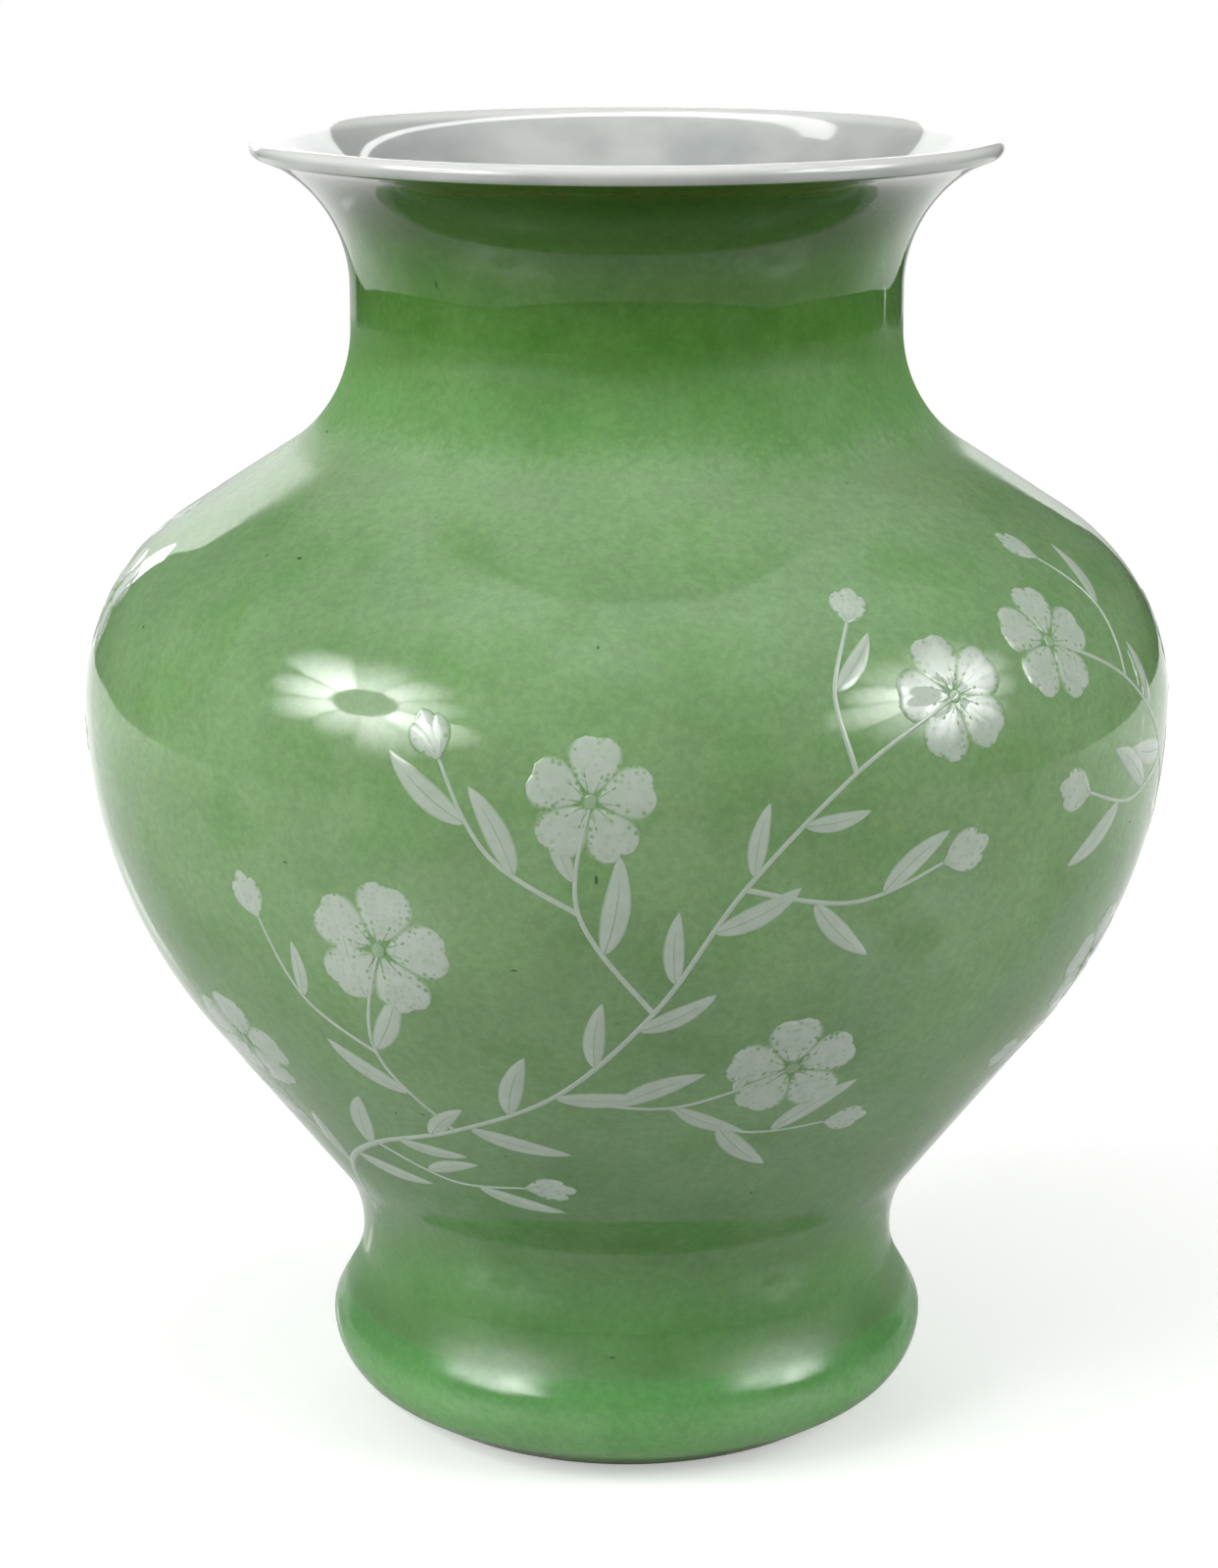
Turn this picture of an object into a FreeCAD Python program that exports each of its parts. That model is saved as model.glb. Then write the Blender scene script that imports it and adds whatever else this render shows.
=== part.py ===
import FreeCAD, Part
import math
import os
from collections import namedtuple

import Sketcher

# A wide-mouthed baluster vase of glazed stoneware, +Z up, in millimetres.
# The origin is on the axis, in the plane that the vase stands on.
# The body is thrown in rings that are luted together with slip at the waist, the belly
# and the neck. A green glaze coats the outside up to the lip, a white one the inside and
# the lip, and a third the recess under the floor. The standing ring stays bare.
# Every outline is a chain of bends and straights beside the axis. All the faces of the
# wall are offsets of one finished outer surface, so they share the centres of its bends.

SIZES = (
    ("foot_level", 16.2, "height of the widest line of the foot"),
    ("waist_rise", 17.7, "from there up to the waist"),
    ("belly_rise", 108.3, "from the waist's joint up to the belly's"),
    ("shoulder_rise", 70.5, "from the belly's joint up to the neck"),
    ("neck_run", 7.7, "height of the straight part of the neck"),
    ("mouth_rise", 28.0, "from there up to the crest of the lip"),
    ("waist_radius", 53.2, "radius of the waist, over the glaze"),
    ("foot_swell", 6.2, "how far the foot stands out past the waist"),
    ("belly_radius", 104.7, "radius of the belly, over the glaze"),
    ("neck_radius", 52.6, "radius of the neck, over the glaze"),
    ("mouth_radius", 70.7, "radius of the lip at its tip"),
    ("underside_angle", 32.3, "angle of the foot's underside to the level, in degrees"),
    ("wall", 3.0, "thickness of the fired clay"),
    ("glaze", 0.4, "thickness of each glaze"),
    ("lute", 0.8, "height of a slip joint"),
    ("floor_thickness", 5.0, "thickness of the floor"),
    ("ring_width", 6.4, "width of the standing ring where it stands"),
    ("ring_bevel", 0.6, "bevel on the inner edge of the standing ring"),
    ("floor_seat", 3.0, "how far the floor lies on the standing ring"),
    ("glaze_stop", 1.0, "height of the bare band at the foot of the green glaze"),
    ("underside_share", 0.838, "radius of the bend under the foot, in foot levels"),
    ("foot_share", 0.233, "radius of the bend above the foot, of the two up to the waist"),
    ("waist_low_share", 0.688, "radius of the waist's lower bend, of the same two"),
    ("waist_high_share", 0.176, "radius of the waist's upper bend, of the two up to the belly"),
    ("belly_share", 0.694, "radius of the belly's lower bend, of the same two"),
    ("shoulder_share", 0.546, "radius of the shoulder's bend, of the two up to the neck"),
    ("neck_share", 0.372, "radius of the neck's bend, of the same two"),
    ("green_share", 0.94, "how far up the flare the green glaze goes"),
)

doc = FreeCAD.newDocument("vase")
sheet = doc.addObject("Spreadsheet::Sheet", "Sizes")
for row, (alias, size, meaning) in enumerate(SIZES, start=1):
    sheet.set(f"A{row}", meaning)
    sheet.set(f"B{row}", str(size))
    sheet.setAlias(f"B{row}", alias)
doc.recompute()


def value(expression):
    """The number that an expression of the sheet's sizes has now."""
    return float(sheet.evalExpression(expression))


# Levels, from the standing face up
FOOT = "Sizes.foot_level"
WAIST_LOW = f"({FOOT} + Sizes.waist_rise)"
WAIST_HIGH = f"({WAIST_LOW} + Sizes.lute)"
BELLY_LOW = f"({WAIST_HIGH} + Sizes.belly_rise)"
BELLY_HIGH = f"({BELLY_LOW} + Sizes.lute)"
NECK_LOW = f"({BELLY_HIGH} + Sizes.shoulder_rise)"
NECK_JOINT = f"({NECK_LOW} + Sizes.lute)"
NECK_HIGH = f"({NECK_LOW} + Sizes.neck_run)"

# Depths of the wall's faces under the finished outer surface
AIR = "0"
CLAY_OUT = "Sizes.glaze"
CLAY_IN = "(Sizes.glaze + Sizes.wall)"
INSIDE = "(2 * Sizes.glaze + Sizes.wall)"

# Radii of the finished surface
FOOT_RADIUS = "(Sizes.waist_radius + Sizes.foot_swell)"
WAIST_RADIUS = "Sizes.waist_radius"
BELLY_RADIUS = "Sizes.belly_radius"
NECK_RADIUS = "Sizes.neck_radius"


def bend(share, wide, narrow, rise):
    """Radius of a bend of an S curve, as a share of the sum that its two bends can have."""
    swing = f"({wide} - {narrow})"
    return f"({share} * ({swing}^2 + {rise}^2) / (2 * {swing}))"


UNDER_BEND = f"(Sizes.underside_share * {FOOT})"
FOOT_BEND = bend("Sizes.foot_share", FOOT_RADIUS, WAIST_RADIUS, "Sizes.waist_rise")
WAIST_LOW_BEND = bend("Sizes.waist_low_share", FOOT_RADIUS, WAIST_RADIUS, "Sizes.waist_rise")
WAIST_HIGH_BEND = bend("Sizes.waist_high_share", BELLY_RADIUS, WAIST_RADIUS, "Sizes.belly_rise")
BELLY_BEND = bend("Sizes.belly_share", BELLY_RADIUS, WAIST_RADIUS, "Sizes.belly_rise")
SHOULDER_BEND = bend("Sizes.shoulder_share", BELLY_RADIUS, NECK_RADIUS, "Sizes.shoulder_rise")
NECK_BEND = bend("Sizes.neck_share", BELLY_RADIUS, NECK_RADIUS, "Sizes.shoulder_rise")

# The flare of the mouth: one bend through the middle of the wall, ending in a round lip
LIP_HALF = "(Sizes.wall / 2 + Sizes.glaze)"
FLARE_OUT = "(Sizes.mouth_radius - Sizes.neck_radius)"
FLARE_UP = f"(Sizes.mouth_rise - {LIP_HALF})"
FLARE_TURN = f"(2 * atan2({FLARE_OUT}; {FLARE_UP}))"
FLARE_MIDDLE = f"(({FLARE_OUT}^2 + {FLARE_UP}^2) / (2 * {FLARE_OUT}))"
FLARE_BEND = f"({FLARE_MIDDLE} - {LIP_HALF})"
FLARE_CENTRE = f"({NECK_RADIUS} + {FLARE_BEND})"
LIP_CENTRE = f"(Sizes.mouth_radius - {LIP_HALF})"
LIP_LEVEL = f"({NECK_HIGH} + {FLARE_UP})"

# The underside of the foot: a cone that runs from the lowest bend down to the ring
SLOPE = "Sizes.underside_angle"


def cone_top(depth):
    """Level at which the underside's cone leaves the bend of the foot."""
    return f"({FOOT} - ({UNDER_BEND} - {depth}) * cos({SLOPE}))"


def cone_radius(depth, level):
    """Radius of the underside's cone at a level."""
    top = f"({FOOT_RADIUS} - {UNDER_BEND} + ({UNDER_BEND} - {depth}) * sin({SLOPE}))"
    return f"({top} - ({cone_top(depth)} - {level}) / tan({SLOPE}))"


RING_TOP = cone_top(CLAY_OUT)
RING_OUTER = cone_radius(CLAY_OUT, "0")
RING_INNER = f"({RING_OUTER} - Sizes.ring_width)"
FLOOR_RADIUS = f"({RING_INNER} + Sizes.floor_seat)"
FLOOR_TOP = f"({RING_TOP} + Sizes.floor_thickness)"

# A stroke of an outline. An arc's ends are SMOOTH where a tangent straight goes on, LEVEL
# where they lie level with its centre, MEETS where an arc of another size goes on from
# there, or else held at a level of their own.
Arc = namedtuple("Arc", "x z radius start end first last")
Lip = namedtuple("Lip", "radius start end")
Corner = namedtuple("Corner", "x z")
SMOOTH = "smooth"
LEVEL = "level"
MEETS = "meets"
HALF_TURN = 180
TOUCHING = 1e-6


def s_curve(wide_below, wide, wide_level, wide_bend, narrow, narrow_level, narrow_bend, depth):
    """The two arcs, from the lower to the upper, of a curve between a wide and a narrow place."""
    wide_x = f"({wide} - {wide_bend})"
    narrow_x = f"({narrow} + {narrow_bend})"
    across = value(wide_x) - value(narrow_x)
    up = value(wide_level) - value(narrow_level)
    lean = math.degrees(math.acos((value(wide_bend) + value(narrow_bend)) / math.hypot(across, up)))
    tangent = math.degrees(math.atan2(up, across)) % (2 * HALF_TURN) + math.copysign(lean, up)
    wide_radius = f"({wide_bend} - {depth})"
    narrow_radius = f"({narrow_bend} + {depth})"
    if wide_below:
        return [
            Arc(wide_x, wide_level, wide_radius, 0, tangent - HALF_TURN, LEVEL, SMOOTH),
            Arc(narrow_x, narrow_level, narrow_radius, tangent, HALF_TURN, SMOOTH, LEVEL),
        ]
    return [
        Arc(narrow_x, narrow_level, narrow_radius, HALF_TURN, tangent, LEVEL, SMOOTH),
        Arc(wide_x, wide_level, wide_radius, tangent - HALF_TURN, 0, SMOOTH, LEVEL),
    ]


def foot_curve(depth, bottom):
    """From a level on the bend under the foot up to the waist."""
    radius = f"({UNDER_BEND} - {depth})"
    start = -math.degrees(math.asin((value(FOOT) - value(bottom)) / value(radius)))
    under = Arc(f"({FOOT_RADIUS} - {UNDER_BEND})", FOOT, radius, start, 0, bottom, MEETS)
    above, waist = s_curve(True, FOOT_RADIUS, FOOT, FOOT_BEND,
                           WAIST_RADIUS, WAIST_LOW, WAIST_LOW_BEND, depth)
    return [under, above._replace(first=MEETS), waist]


def body_curve(depth):
    """From the waist up to the belly."""
    return s_curve(False, BELLY_RADIUS, BELLY_LOW, BELLY_BEND,
                   WAIST_RADIUS, WAIST_HIGH, WAIST_HIGH_BEND, depth)


def shoulder_curve(depth):
    """From the belly up to the neck."""
    return s_curve(True, BELLY_RADIUS, BELLY_HIGH, SHOULDER_BEND,
                   NECK_RADIUS, NECK_LOW, NECK_BEND, depth)


def flare_curve(depth, low_share, high_share):
    """A stretch of the mouth's bend, given as shares of its turn from the neck to the lip."""
    radius = f"({FLARE_BEND} + {depth})"
    turn = value(FLARE_TURN)
    low, high = (
        LEVEL if share == 0 else f"({NECK_HIGH} + {radius} * sin({share} * {FLARE_TURN}))"
        for share in (low_share, high_share)
    )
    ends = (HALF_TURN - turn * value(str(share)) for share in (low_share, high_share))
    return [Arc(FLARE_CENTRE, NECK_HIGH, radius, *ends, low, high)]


def lip_curve(depth):
    """Half round the lip, from its underside over its tip to the inside of the mouth."""
    turn = value(FLARE_TURN)
    return [Lip(f"({LIP_HALF} - {depth})", -turn, HALF_TURN - turn)]


def back(strokes):
    """The same strokes, drawn the other way."""
    turned = []
    for stroke in reversed(strokes):
        if isinstance(stroke, Arc):
            stroke = stroke._replace(start=stroke.end, end=stroke.start,
                                     first=stroke.last, last=stroke.first)
        elif isinstance(stroke, Lip):
            stroke = stroke._replace(start=stroke.end, end=stroke.start)
        turned.append(stroke)
    return turned


class Outline:
    """A closed sketch outline whose strokes are joined and held by sizes as they are drawn."""

    def __init__(self, sketch):
        self.sketch = sketch
        self.opening = None
        self.pen = None

    def hold(self, kind, expression, *places):
        constraint = Sketcher.Constraint(kind, *places, value(expression))
        index = self.sketch.addConstraint(constraint)
        self.sketch.setExpression(f"Constraints[{index}]", expression)

    def place(self, piece, point, x=None, z=None):
        """Hold a point of a piece at a distance from the axis and at a level."""
        for kind, expression, axis in (("DistanceX", x, -2), ("DistanceY", z, -1)):
            if expression == "0":
                self.sketch.addConstraint(Sketcher.Constraint("PointOnObject", piece, point, axis))
            elif expression is not None:
                self.hold(kind, expression, -1, 1, piece, point)

    def straight(self, start, end):
        """A line from one end to another, tangent to the arcs that ask for it."""
        line = self.sketch.addGeometry(Part.LineSegment(start["at"], end["at"]), False)
        for near, point in ((start, 1), (end, 2)):
            if near["piece"] is None:
                near["piece"], near["point"] = line, point
                self.place(line, point, near["x"], near["z"])
            else:
                kind = "Tangent" if near["kind"] == SMOOTH else "Coincident"
                joint = Sketcher.Constraint(kind, near["piece"], near["point"], line, point)
                self.sketch.addConstraint(joint)

    def join(self, start, end):
        """Join two ends, with a line between them where they lie apart."""
        if (start["at"] - end["at"]).Length > TOUCHING:
            self.straight(start, end)
        else:
            kind = "Tangent" if end["kind"] is Lip else "Coincident"
            places = (start["piece"], start["point"], end["piece"], end["point"])
            self.sketch.addConstraint(Sketcher.Constraint(kind, *places))

    def corner(self, stroke):
        at = FreeCAD.Vector(value(stroke.x), value(stroke.z), 0)
        end = {"piece": None, "at": at, "kind": Corner, "x": stroke.x, "z": stroke.z}
        return end, end

    def curve(self, stroke, x, z):
        """Draw an arc or a lip about a centre, and return its two ends."""
        centre = FreeCAD.Vector(value(x), value(z), 0)
        radius = value(stroke.radius)
        circle = Part.Circle(centre, FreeCAD.Vector(0, 0, 1), radius)
        sweep = sorted(math.radians(angle) for angle in (stroke.start, stroke.end))
        piece = self.sketch.addGeometry(Part.ArcOfCircle(circle, *sweep), False)
        points = (1, 2) if stroke.start < stroke.end else (2, 1)
        ends = []
        for angle, point in zip((stroke.start, stroke.end), points):
            turn = math.radians(angle)
            at = centre + FreeCAD.Vector(radius * math.cos(turn), radius * math.sin(turn), 0)
            ends.append({"piece": piece, "point": point, "at": at, "kind": Lip})
        return ends

    def arc(self, stroke):
        ends = self.curve(stroke, stroke.x, stroke.z)
        piece = ends[0]["piece"]
        follows = stroke.first == MEETS
        self.place(piece, 3, None if follows else stroke.x, stroke.z)
        self.hold("Radius", stroke.radius, piece)
        for end, kind in zip(ends, (stroke.first, stroke.last)):
            end["kind"] = kind
            if kind == LEVEL or (kind == MEETS and end is ends[1]):
                self.place(piece, end["point"], z=stroke.z)
            elif kind not in (SMOOTH, MEETS):
                self.place(piece, end["point"], z=kind)
        return ends

    def draw(self, strokes):
        """Draw the strokes nose to tail and close the outline."""
        for stroke in strokes:
            if isinstance(stroke, Corner):
                first, last = self.corner(stroke)
            elif isinstance(stroke, Lip):
                first, last = self.curve(stroke, LIP_CENTRE, LIP_LEVEL)
                last["kind"] = Corner
            else:
                first, last = self.arc(stroke)
            if self.pen is None:
                self.opening = first
            else:
                self.join(self.pen, first)
            self.pen = last
        self.join(self.pen, self.opening)


def revolved(label, strokes):
    """A ring or a disc: an outline beside the axis, turned once round it."""
    body = doc.addObject("PartDesign::Body", label.title().replace("_", ""))
    body.Label = label
    sketch = body.newObject("Sketcher::SketchObject", f"{body.Name}Outline")
    origin = body.Origin.OriginFeatures
    sketch.AttachmentSupport = [(next(plane for plane in origin if plane.Role == "XZ_Plane"), "")]
    sketch.MapMode = "FlatFace"
    Outline(sketch).draw(strokes)
    turned = body.newObject("PartDesign::Revolution", f"{body.Name}Turned")
    turned.Profile = sketch
    turned.ReferenceAxis = (sketch, ["V_Axis"])
    turned.Angle = 2 * HALF_TURN
    body.Placement = FreeCAD.Placement()
    return body


def standing_ring():
    return revolved("foot_ring", [
        Corner(f"({RING_INNER} + Sizes.ring_bevel)", "0"),
        Corner(RING_OUTER, "0"),
        Corner(cone_radius(CLAY_OUT, RING_TOP), RING_TOP),
        Corner(RING_INNER, RING_TOP),
        Corner(RING_INNER, "Sizes.ring_bevel"),
    ])


def disc(label, radius, bottom, top):
    return revolved(label, [
        Corner("0", bottom),
        Corner(radius, bottom),
        Corner(radius, top),
        Corner("0", top),
    ])


def foot_wall():
    return revolved("foot_section", [
        Corner(FLOOR_RADIUS, RING_TOP),
        *foot_curve(CLAY_OUT, RING_TOP),
        *back(foot_curve(CLAY_IN, FLOOR_TOP)),
        Corner(FLOOR_RADIUS, FLOOR_TOP),
    ])


def wall_ring(label, curve):
    """A thrown ring of the wall, between its outer and its inner face."""
    return revolved(label, [*curve(CLAY_OUT), *back(curve(CLAY_IN))])


def lute(label, radius, bottom, top):
    """The slip that joins two rings, as wide as the clay wall."""
    outer = f"({radius} - {CLAY_OUT})"
    inner = f"({radius} - {CLAY_IN})"
    return revolved(label, [
        Corner(inner, bottom),
        Corner(outer, bottom),
        Corner(outer, top),
        Corner(inner, top),
    ])


def mouth_wall():
    return revolved("neck_and_mouth", [
        Corner(f"({NECK_RADIUS} - {CLAY_IN})", NECK_JOINT),
        Corner(f"({NECK_RADIUS} - {CLAY_OUT})", NECK_JOINT),
        *flare_curve(CLAY_OUT, 0, 1),
        *lip_curve(CLAY_OUT),
        *back(flare_curve(CLAY_IN, 0, 1)),
    ])


def green_coat():
    """The outer glaze, from the bare band at the foot up to its edge under the lip."""
    def face(depth):
        return [
            Corner(cone_radius(depth, "Sizes.glaze_stop"), "Sizes.glaze_stop"),
            *foot_curve(depth, cone_top(depth)),
            *body_curve(depth),
            *shoulder_curve(depth),
            *flare_curve(depth, 0, "Sizes.green_share"),
        ]
    return revolved("green_glaze", [*face(AIR), *back(face(CLAY_OUT))])


def white_coat():
    """The inner glaze, from the floor up, over the lip and down to the green glaze's edge."""
    def face(depth, lip_depth, floor):
        return [
            Corner("0", floor),
            *foot_curve(depth, floor),
            *body_curve(depth),
            *shoulder_curve(depth),
            *flare_curve(depth, 0, 1),
            *back(lip_curve(lip_depth)),
            *back(flare_curve(lip_depth, "Sizes.green_share", 1)),
        ]
    outside = face(CLAY_IN, CLAY_OUT, FLOOR_TOP)
    inside = face(INSIDE, AIR, f"({FLOOR_TOP} + Sizes.glaze)")
    return revolved("white_glaze", [*outside, *back(inside)])


parts = [
    standing_ring(),
    disc("base_floor", FLOOR_RADIUS, RING_TOP, FLOOR_TOP),
    foot_wall(),
    lute("waist_lute", WAIST_RADIUS, WAIST_LOW, WAIST_HIGH),
    wall_ring("lower_body", body_curve),
    lute("belly_lute", BELLY_RADIUS, BELLY_LOW, BELLY_HIGH),
    wall_ring("shoulder_section", shoulder_curve),
    lute("neck_lute", NECK_RADIUS, NECK_LOW, NECK_JOINT),
    mouth_wall(),
    green_coat(),
    white_coat(),
    disc("recess_glaze", RING_INNER, f"({RING_TOP} - Sizes.glaze)", RING_TOP),
]

doc.recompute()
for item in doc.Objects:
    if "Invalid" in item.State or "Error" in item.State:
        raise RuntimeError(f"{item.Label} did not build: {item.State}")
for part in parts:
    if part.Shape.isNull() or not part.Shape.isValid():
        raise RuntimeError(f"{part.Label} has no valid shape")

os.makedirs("parts", exist_ok=True)
for part in parts:
    part.Shape.exportStep(f"parts/{part.Label}.step")
    box = part.Shape.BoundBox
    print(f"{part.Label}: {part.Shape.Volume / 1000:.2f} cm3, z {box.ZMin:.2f} to {box.ZMax:.2f},"
          f" radius {box.XMax:.2f}, solids {len(part.Shape.Solids)}")
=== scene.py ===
# %% [markdown]
# # A glazed baluster vase
#
# The vase is one fired piece of white clay, thrown in sections on a wheel. It has a green glaze
# outside, a white glaze inside and over the lip, and sprays of white slip painted on the green.
# The CAD model brings the true sizes as a fixed frame. This lesson dresses it: each glaze is
# turned again as a finer skin in the same place, and the sprays are brushed onto the wall.

# %% Load the frame
import math
import random

import bpy
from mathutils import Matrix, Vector


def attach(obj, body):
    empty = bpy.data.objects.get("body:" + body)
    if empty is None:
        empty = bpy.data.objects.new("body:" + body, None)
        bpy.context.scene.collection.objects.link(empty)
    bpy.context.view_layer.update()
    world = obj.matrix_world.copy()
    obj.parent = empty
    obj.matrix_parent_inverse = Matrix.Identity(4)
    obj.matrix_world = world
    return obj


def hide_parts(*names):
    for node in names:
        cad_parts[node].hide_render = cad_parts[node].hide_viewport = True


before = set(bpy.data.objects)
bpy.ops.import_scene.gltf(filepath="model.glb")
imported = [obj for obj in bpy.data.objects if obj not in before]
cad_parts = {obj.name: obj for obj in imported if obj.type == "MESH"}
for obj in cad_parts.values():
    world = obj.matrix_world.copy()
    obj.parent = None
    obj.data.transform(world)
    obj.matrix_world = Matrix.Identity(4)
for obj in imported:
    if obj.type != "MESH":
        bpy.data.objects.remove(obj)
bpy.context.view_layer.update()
scene = bpy.context.scene
scene.view_settings.view_transform = "Standard"
MM = 0.001

# %% [markdown]
# The photograph was taken from a little above, with a long lens, so the camera stands 0.7 m in
# front and 0.3 m up, and looks down by about 15 degrees. The shift moves the vase a little to
# the right of the middle, as it stands in the photograph.

# %% Camera
CAMERA_AWAY = 0.700
CAMERA_HEIGHT = 0.3054
CAMERA_DOWN = math.radians(14.535)

lens = bpy.data.cameras.new("photo_lens")
lens.sensor_width = 36
lens.lens = 84.63
lens.shift_x = -0.0113
lens.clip_start = 0.05
camera = bpy.data.objects.new("photo_camera", lens)
camera.location = (0, -CAMERA_AWAY, CAMERA_HEIGHT)
camera.rotation_euler = (math.pi / 2 - CAMERA_DOWN, 0, 0)
scene.collection.objects.link(camera)
scene.camera = camera
print("camera at", tuple(camera.location))

# %% [markdown]
# A node tree is a list of small machines and wires. One helper puts a node in a tree: it takes
# the node's settings, and a table that says what goes into each input, either a plain value or
# another node's output. Every tree below is built with it, and the short helpers after it name
# what the trees do most.

# %% Helpers for node trees
def put(tree, kind, wires=None, **settings):
    """Adds a node, sets it up, and feeds its inputs with values or with other nodes' outputs."""
    made = tree.nodes.new(kind)
    for name, value in settings.items():
        setattr(made, name, value)
    for name, value in (wires or {}).items():
        socket = made.inputs[name]
        if isinstance(value, bpy.types.NodeSocket):
            tree.links.new(value, socket)
        else:
            socket.default_value = value
    return made


def out(tree, kind, wires=None, **settings):
    """Adds a node in the same way, and gives its first output."""
    return put(tree, kind, wires, **settings).outputs[0]


def maths(tree, operation, first, second=0.0):
    return out(tree, "ShaderNodeMath", {0: first, 1: second}, operation=operation)


def times(tree, first, second):
    return maths(tree, "MULTIPLY", first, second)


def plus(tree, first, second):
    return maths(tree, "ADD", first, second)


def minus(tree, first, second):
    return maths(tree, "SUBTRACT", first, second)


def vectors(tree, operation, first, second=(0, 0, 0)):
    return out(tree, "ShaderNodeVectorMath", {0: first, 1: second}, operation=operation)


def parts_of(tree, vector):
    """The X, Y and Z of a vector."""
    return put(tree, "ShaderNodeSeparateXYZ", {0: vector}).outputs


def here_in(tree):
    """The X, Y and Z of each point of a geometry."""
    return parts_of(tree, out(tree, "GeometryNodeInputPosition"))


def grey(tree, value):
    """A colour that is as bright as the value says."""
    return out(tree, "ShaderNodeCombineColor", {0: value, 1: value, 2: value})


def spread_of(tree, value, low, high, to_low=0.0, to_high=1.0):
    """Stretches a value from one range to another, with soft ends."""
    return out(tree, "ShaderNodeMapRange", {"Value": value, "From Min": low, "From Max": high,
                                            "To Min": to_low, "To Max": to_high},
               interpolation_type="SMOOTHSTEP")


def one_or_other(tree, chooser, first, second):
    """The first value where the chooser is 0, and the second where it is 1."""
    return out(tree, "ShaderNodeMix", {0: chooser, 2: first, 3: second}, data_type="FLOAT")


def empty_material(name):
    """A new material and its node tree, with nothing in it yet."""
    material = bpy.data.materials.new(name)
    material.use_nodes = True
    material.node_tree.nodes.clear()
    return material, material.node_tree


def shown(tree, shader):
    """Ends a material's tree in this shader."""
    put(tree, "ShaderNodeOutputMaterial", {"Surface": shader})


def shape_tree(name, takes, inputs, gives):
    """A new Geometry Nodes tree and its named inputs."""
    tree = bpy.data.node_groups.new(name, "GeometryNodeTree")
    for label, kind in ((takes, "Geometry"), *inputs):
        tree.interface.new_socket(label, in_out="INPUT", socket_type="NodeSocket" + kind)
    tree.interface.new_socket(gives, in_out="OUTPUT", socket_type="NodeSocketGeometry")
    return tree, put(tree, "NodeGroupInput").outputs

# %% [markdown]
# The studio is a white table in a dark room. What a glossy glaze shows is mostly that room: the
# table ends 0.66 m in front of the vase, so the neck mirrors a pale band with a dark one under
# it. The camera itself sees the table, the floor and all the space behind as white.

# %% Table and surroundings
TABLE_FRONT, TABLE_BACK, TABLE_HALF_WIDTH = -0.66, 1.05, 1.05
ROOM_HALF_WIDTH, ROOM_FLOOR_LEVEL, ROOM_LIGHT = 12.0, -0.004, 0.05
TABLE_POLISH, POLISH_IOR, PALENESS_FOR_CAMERA = 0.12, 1.5, 0.80
# Each of these runs over a distance in metres: from, to, the value there and the value beyond
TABLE_PALENESS = (0.10, 0.55, 0.60, 0.37)
GLOW_FOR_CAMERA = (0.14, 0.60, 0.40, 1.0)
GLOW_FOR_GLAZE = (-0.10, 0.55, 0.0, 0.85)


def surface(name, corners, material):
    """A flat piece of stage from its corner points."""
    mesh = bpy.data.meshes.new(name)
    mesh.from_pydata(corners, [], [list(range(len(corners)))])
    mesh.materials.append(material)
    thing = bpy.data.objects.new(name, mesh)
    scene.collection.objects.link(thing)
    return thing


def table_material():
    """White acrylic: pale near the vase and dimmer further off, with a polish that mirrors the lights.
    Away from the vase it glows, for the camera all round and for the glaze only behind the vase."""
    material, tree = empty_material("table_white")
    path = put(tree, "ShaderNodeLightPath")
    spot = put(tree, "ShaderNodeTexCoord").outputs["Object"]
    away = put(tree, "ShaderNodeVectorMath", {0: spot}, operation="LENGTH").outputs["Value"]
    fall = spread_of(tree, away, *TABLE_PALENESS)
    pale = one_or_other(tree, path.outputs["Is Camera Ray"], fall, PALENESS_FOR_CAMERA)
    lit = out(tree, "ShaderNodeBsdfDiffuse", {"Color": grey(tree, pale)})
    shine = out(tree, "ShaderNodeBsdfGlossy", {"Roughness": TABLE_POLISH})
    angle = out(tree, "ShaderNodeFresnel", {"IOR": POLISH_IOR})
    hidden = minus(tree, 1.0, path.outputs["Is Camera Ray"])
    both = out(tree, "ShaderNodeMixShader", {0: times(tree, angle, hidden), 1: lit, 2: shine})
    far = spread_of(tree, away, *GLOW_FOR_CAMERA)
    behind = spread_of(tree, parts_of(tree, spot)["Y"], *GLOW_FOR_GLAZE)
    for_camera = times(tree, path.outputs["Is Camera Ray"], far)
    for_glaze = times(tree, path.outputs["Is Glossy Ray"], behind)
    glow = out(tree, "ShaderNodeEmission", {"Strength": plus(tree, for_camera, for_glaze)})
    seen = out(tree, "ShaderNodeAddShader", {0: both, 1: glow})
    shown(tree, seen)
    return material


def room_material():
    """The floor of the room: dark for the glaze, and white for the camera."""
    material, tree = empty_material("room_dark")
    path = put(tree, "ShaderNodeLightPath")
    light = maths(tree, "MAXIMUM", path.outputs["Is Camera Ray"], ROOM_LIGHT)
    glow = out(tree, "ShaderNodeEmission", {"Strength": light})
    shown(tree, glow)
    return material


def level_rectangle(left, right, front, back, level):
    return [(left, front, level), (right, front, level), (right, back, level), (left, back, level)]


surface("table_top", level_rectangle(-TABLE_HALF_WIDTH, TABLE_HALF_WIDTH, TABLE_FRONT, TABLE_BACK, 0),
        table_material())
surface("room_floor", level_rectangle(-ROOM_HALF_WIDTH, ROOM_HALF_WIDTH, -ROOM_HALF_WIDTH, ROOM_HALF_WIDTH,
                                      ROOM_FLOOR_LEVEL), room_material())
print("the table reaches from", TABLE_FRONT, "to", TABLE_BACK, "m")

# %% [markdown]
# The world round the table is dim at the sides, with a soft bright ceiling that fills the mouth
# with light. Where the camera looks past the table, it is plain white.

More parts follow.
